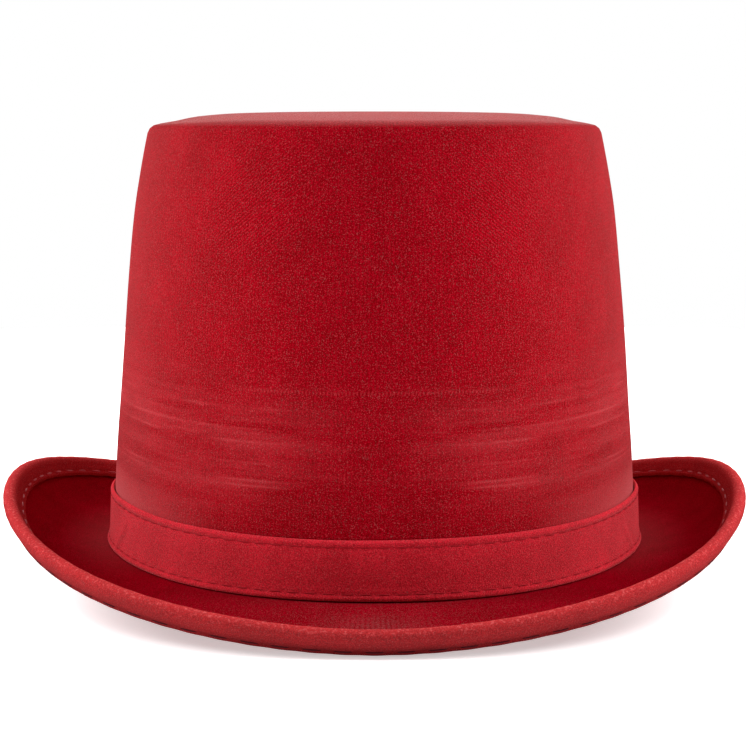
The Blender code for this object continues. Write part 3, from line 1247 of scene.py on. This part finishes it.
@dataclass
class Binding(Strip):
    """The binding: a strip folded over the brim's edge, padded by its turnings and stitched through."""

    stitches: StitchLine = StitchLine(82, 5.6 * MM, 0.75 * MM)
    seam_pull: tuple[float, float, float] = (0.40, 0.35, 0.25)
    around: int = 900
    rows: int = 34
    width: float = 6.5 * MM
    wall: float = 1.0 * MM
    cloth_share: float = 0.7
    inner_share: float = 0.6
    scallop: float = 0.25 * MM
    padding: float = 0.16 * MM
    padding_at_hole: float = 0.06 * MM
    padding_reach: float = 4.2 * MM
    hem: Ridge = Ridge(0.25 * MM, 1.0 * MM, 0.8 * MM)
    edge: Ridge = Ridge(-0.6 * MM, 0.0, 0.4 * MM)
    trough: Ridge = Ridge(-0.6 * MM, 2.0 * MM, 0.6 * MM)
    finish: ClassVar[Finish] = Finish.BINDING

    def fold(self) -> float:
        """Length of the strip's outer face round the fold."""
        return math.pi * (self.block.brim_wall / 2.0 + self.block.gap + self.wall)

    def spread(self) -> float:
        """Length of the strip's outer face from one free edge to the other."""
        return 2.0 * self.width + self.fold()

    def section(self, angle: Array, level: Array) -> tuple[Array, Array]:
        """Fold the strip over the brim's edge, before its padding.

        Args:
            angle: Angles round the hat.
            level: From 0 at the upper free edge, over the fold at 0.5, to 1 at the lower one.

        Returns:
            Points in the middle of the brim's wall, and the way out from them to the strip.
        """
        along = level * self.spread()
        back = self.spread() - along
        scallop = self.scallop * (self.needle(angle) - 0.5)
        free = np.clip(1.0 - np.minimum(along, back) / self.width, 0.0, 1.0)
        from_edge = np.clip(self.width - np.minimum(along, back), 0.0, self.width)
        across = self.share_from_edge(angle, np.maximum(from_edge - scallop * free, 0.0))
        out, down = self.block.directions(self.block.brim, angle, across)
        turn = np.clip((along - self.width) / self.fold(), 0.0, 1.0) * math.pi
        way = out * np.sin(turn)[..., None] - down * np.cos(turn)[..., None]
        return self.block.brim(angle, across), way

    def share_from_edge(self, angle: Array, distance: Array) -> Array:
        """Find the places that lie a distance along the cloth from the brim's edge.

        Args:
            angle: Angles round the hat.
            distance: Metres from the edge.

        Returns:
            Shares of the way from the crown to the edge.
        """
        steps = np.linspace(1.0, self.inner_share, 61)
        line = np.stack([self.block.brim(angle, np.full_like(angle, step)) for step in steps])
        strides = np.linalg.norm(np.diff(line, axis=0), axis=-1)
        run = np.concatenate([np.zeros((1, len(angle))), np.cumsum(strides, axis=0)])
        row = np.clip((run < distance).sum(axis=0), 1, len(steps) - 1)
        pick = np.arange(len(angle))
        near, far = run[row - 1, pick], run[row, pick]
        t = (distance - near) / (far - near)
        return steps[row - 1] + (steps[row] - steps[row - 1]) * t

    def standoff(self, angle: Array, level: Array) -> Array:
        """How far the strip's outer face stands off the middle of the brim's wall.

        Args:
            angle: Angles round the hat.
            level: From 0 at the upper free edge to 1 at the lower one.

        Returns:
            The fold's radius with the padding, the hems, the edges and the stitched troughs.
        """
        along = level * self.spread()
        needle = self.needle(angle)
        height = self.padding + (self.padding_at_hole - self.padding) * needle
        crest = Ridge(1.0, self.spread() / 2.0, self.padding_reach)
        total = self.fold() / math.pi + height * crest.rise(along)
        for distance in (along, self.spread() - along):
            total += self.hem.rise(distance) + self.edge.rise(distance)
            total += self.trough.rise(distance) * self.drawn_in(angle)
        return total

    def build(self) -> Piece:
        """Cut the strip, fold it over the brim's edge and give it its wall.

        Returns:
            The finished binding.
        """
        piece = cut_cloth("binding_cloth", self.around, self.rows, Cut.STRIP)
        angle, _, share = laid_flat(piece)
        press(piece, self.surface(angle, share))
        lay_pattern(piece, angle, self.block.girth(self.block.front_brim_width), share * self.spread())
        face_outwards(piece)
        dress(piece, self.finish, BINDING_VELOUR.material())
        give_wall(piece, self.wall * self.cloth_share, -1.0)
        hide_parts("binding")
        return piece

    def declare(self, piece: Piece, threads: list[Piece]) -> None:
        """Work out the flat size that the folded binding was cut to; it is not passed on."""
        flat = (self.spread(), self.block.girth(self.block.front_brim_width))


@dataclass(frozen=True)
class Panel:
    """A square light panel: its place and its side in metres, its power in watts."""

    name: str
    place: tuple[float, float, float]
    side: float
    power: float

    def hang(self, target: tuple[float, float, float]) -> None:
        """Hang the panel where the camera doesn't see it.

        Args:
            target: The point that it faces.
        """
        light = bpy.data.lights.new(self.name, "AREA")
        light.size = self.side
        light.energy = self.power
        lamp = bpy.data.objects.new(self.name, light)
        lamp.location = self.place
        lamp.visible_camera = False
        lamp.rotation_euler = (Vector(target) - Vector(self.place)).to_track_quat("-Z", "Y").to_euler()
        bpy.context.scene.collection.objects.link(lamp)


@dataclass
class Studio:
    """White room: a pale table, broad soft lights and a long lens level with the crown's top."""

    distance: float = 0.900
    side_step: float = -0.0005
    camera_height: float = 0.168
    pitch: float = 6.35
    focal_length: float = 130.05
    sensor: float = 36.0
    table_radius: float = 0.9
    table_glow: float = 0.48
    room_light: float = 0.28
    aim: tuple[float, float, float] = (0.0, 0.0, 0.07)
    panels: tuple[Panel, ...] = (
        Panel("left panel", (-1.15, 0.0, 0.85), 0.8, 21.0),
        Panel("right panel", (1.15, 0.0, 0.85), 0.8, 21.0),
        Panel("top panel", (0.0, 0.4, 1.6), 1.2, 8.0),
        Panel("back panel", (0.0, 1.6, 0.75), 1.2, 10.0),
    )

    def build(self) -> None:
        """Set the floor, the light and the camera."""
        self.lay_table()
        self.light_room()
        for panel in self.panels:
            panel.hang(self.aim)
        self.place_camera()

    def lay_table(self) -> None:
        """Lay a round table top of matt opal acrylic: an even white, lit a little from below."""
        bpy.ops.object.select_all(action="DESELECT")
        bpy.ops.mesh.primitive_circle_add(
            vertices=96, radius=self.table_radius, fill_type="NGON", location=(0.0, 0.0, 0.0)
        )
        table = bpy.context.object
        table.name = "table_top"
        acrylic = bpy.data.materials.new("opal acrylic, matt, lit from below")
        acrylic.use_nodes = True
        shader = acrylic.node_tree.nodes["Principled BSDF"]
        shader.inputs["Base Color"].default_value = linear_colour("F4F4F4")
        shader.inputs["Roughness"].default_value = 0.95
        shader.inputs["Specular IOR Level"].default_value = 0.0
        shader.inputs["Emission Color"].default_value = WHITE
        shader.inputs["Emission Strength"].default_value = self.table_glow
        table.data.materials.append(acrylic)

    def light_room(self) -> None:
        """Fill the room with even white light; the camera sees its walls as plain white."""
        world = bpy.data.worlds.new("white room")
        world.use_nodes = True
        world.node_tree.nodes.clear()
        seen = Value(add_node(world.node_tree, "LightPath", {}), "Is Camera Ray")
        strength = seen.into("MapRange", 0.0, 1.0, self.room_light, 1.0)
        walls = add_node(world.node_tree, "Background", {"Color": WHITE, "Strength": strength})
        add_node(world.node_tree, "OutputWorld", {"Surface": Value(walls)})
        bpy.context.scene.world = world

    def place_camera(self) -> None:
        """Stand the camera ahead of the hat, a little above its middle."""
        lens = bpy.data.cameras.new("camera")
        lens.lens = self.focal_length
        lens.sensor_width = self.sensor
        camera = bpy.data.objects.new("camera", lens)
        camera.location = (self.side_step, -self.distance, self.camera_height)
        camera.rotation_euler = (math.radians(90.0 - self.pitch), 0.0, 0.0)
        bpy.context.scene.collection.objects.link(camera)
        bpy.context.scene.camera = camera


# One cloth throughout; each piece has its own copy of it, with its own wear, and some copies are made
# lighter or darker as painted light and shade.
CROWN_VELOUR = CrownVelour("velour, crown")
# The tip's copy, with a stronger shader sheen so it pales at a slant, and a little painted sheen in its
# colour.
TIP_VELOUR = CrownVelour("velour, tip", sheen=0.38, tip_painted_sheen=0.010, tip_painted_sheen_dimming=0.10)
# The brightest copy: painted light, making up for the light that the brim's curl keeps off the band, with
# a pale haze of painted sheen all over.
BAND_VELOUR = BandVelour(
    "velour, band",
    deep="A20014",
    lit="DC182E",
    lit_share=0.50,
    haze=0.014,
    sheen=0.20,
    patch_contrast=0.25,
)
# A darker copy, partly painted shade for the hollow between the crown and the curl and partly its pressed
# pile; few painted glints, no sheen.
BRIM_VELOUR = BrimVelour("velour, brim", deep="6C0006", lit="980018", sheen=0.0, glint=0.015)
# Crushed over the edge by handling, so its tufts lie flat and even; a faint haze of painted sheen lies
# over it.
BINDING_VELOUR = BindingVelour(
    "velour, binding", deep="8A040C", lit="C21C22", haze=0.005, sheen=0.03, tuft_contrast=0.8
)
# The back of the knit: a short even fuzz with no cut pile.
BACKING = Velour("brushed knit backing", lit_share=0.15, sheen=0.08, tuft_contrast=0.5)
# Smooth twisted threads, a little duller than the pile beside them.
BAND_THREAD = Thread("spun polyester thread, band", "800814", "B4242E")
NEEDLE_THREAD = Thread("spun polyester thread, binding", "861C24", "B03C44")
# Painted shadow: the stitches under the brim get a dark thread for the shade there.
SHADED_UNDER_THREAD = Thread("spun polyester thread, under the brim", "300810", "4C1018")


def main() -> None:
    """Build every piece of the hat, dress it and stage it."""
    logging.basicConfig(level=logging.INFO, format="%(name)s: %(message)s")
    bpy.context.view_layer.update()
    block = HatBlock()
    band, binding = Band(block), Binding(block)
    band_piece, binding_piece = band.build(), binding.build()
    band_threads = [
        band.stitch("band_top_stitches", band.height - band.top_trough.at, BAND_THREAD),
        band.stitch("band_foot_stitches", band.foot_trough.at, BAND_THREAD),
    ]
    line = binding.trough.at / binding.spread()
    binding_threads = [
        binding.stitch("binding_upper_stitches", line, NEEDLE_THREAD),
        # The lower stitches take the dark thread of painted shadow.
        binding.stitch("binding_lower_stitches", 1.0 - line, SHADED_UNDER_THREAD),
    ]
    pieces = [Crown(block).build(), Brim(block).build(), band_piece, binding_piece]
    band.declare(band_piece, band_threads)
    binding.declare(binding_piece, binding_threads)
    for piece in pieces + band_threads + binding_threads:
        piece.data.calc_loop_triangles()
        log.info("%s: %d triangles", piece.name, len(piece.data.loop_triangles))
    Studio().build()
    bpy.context.scene.view_settings.view_transform = "Standard"
    bpy.context.view_layer.update()


if __name__ == "__main__":
    main()
